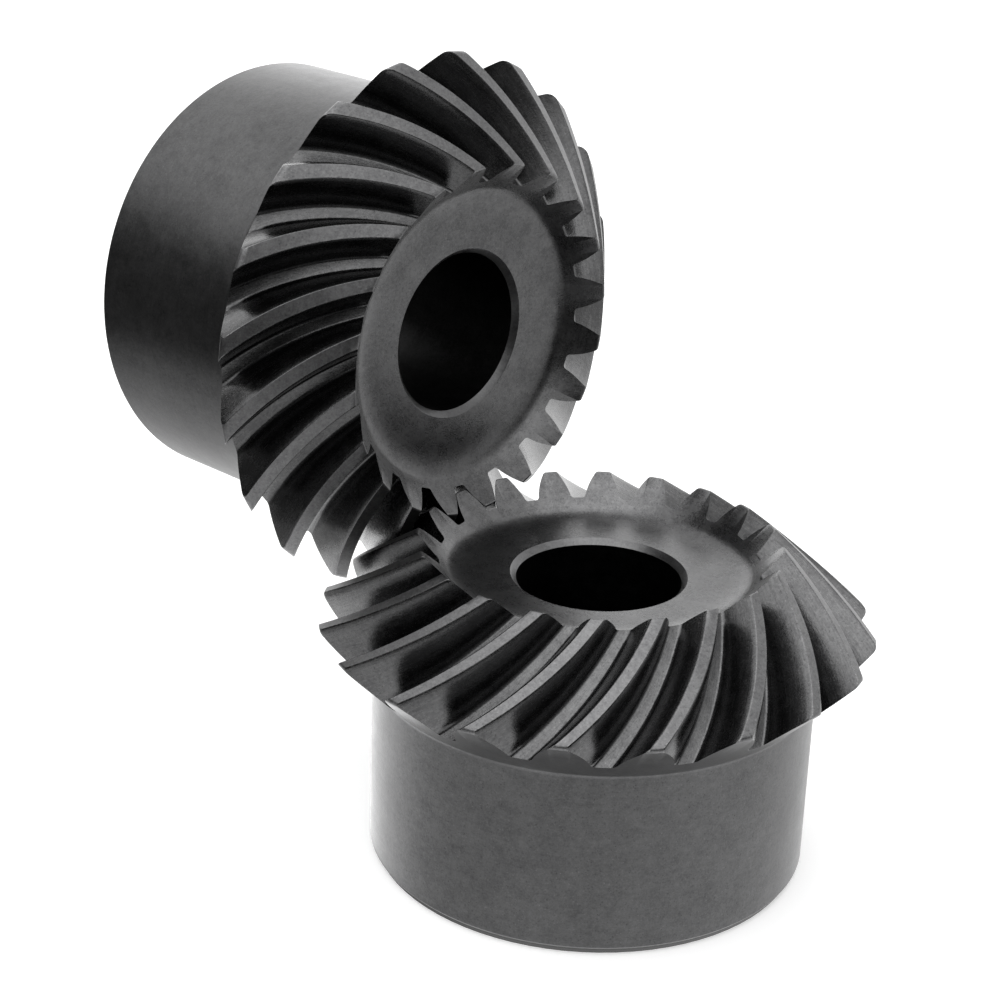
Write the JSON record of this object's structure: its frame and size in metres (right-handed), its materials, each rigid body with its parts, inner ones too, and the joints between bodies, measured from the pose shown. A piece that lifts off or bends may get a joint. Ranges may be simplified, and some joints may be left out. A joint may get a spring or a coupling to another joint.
{
  "type": "spiral bevel gear pair",
  "caption": "Two matching spiral bevel (miter) gears with long hubs and plain bores, meshed at right angles.",
  "frame": {"origin": "centre of the pair's footprint box at the height of the seating ring's lower face; the two shaft axes cross at x 21.0 mm, y 0, z 96.15 mm", "axes": "+Z along the lower gear's shaft axis towards its toothed face, +X along the upper gear's shaft axis towards its toothed face, +Y across both shafts"},
  "size_m": [0.1484, 0.1064, 0.1492],
  "materials": {
    "gear_steel_lower": "black oxide, satin",
    "gear_steel_upper": "black oxide, satin",
    "shim_steel": "ground"
  },
  "bodies": {
    "mounting": {"hub_shim": "shim_steel"},
    "lower": {"lower_gear": "gear_steel_lower"},
    "upper": {"upper_gear": "gear_steel_upper"}
  },
  "joints": [
    {"name": "lower_spin", "type": "hinge", "parent": "mounting", "child": "lower", "pos_m": [0.02102, 0, 0.04], "axis": [0, 0, 1], "continuous": true},
    {"name": "upper_spin", "type": "hinge", "parent": "mounting", "child": "upper", "pos_m": [-0.03898, 0, 0.09615], "axis": [1, 0, 0], "continuous": true}
  ],
  "couplings": [
    {"joint": "upper_spin", "follows": "lower_spin", "ratio": -1}
  ]
}
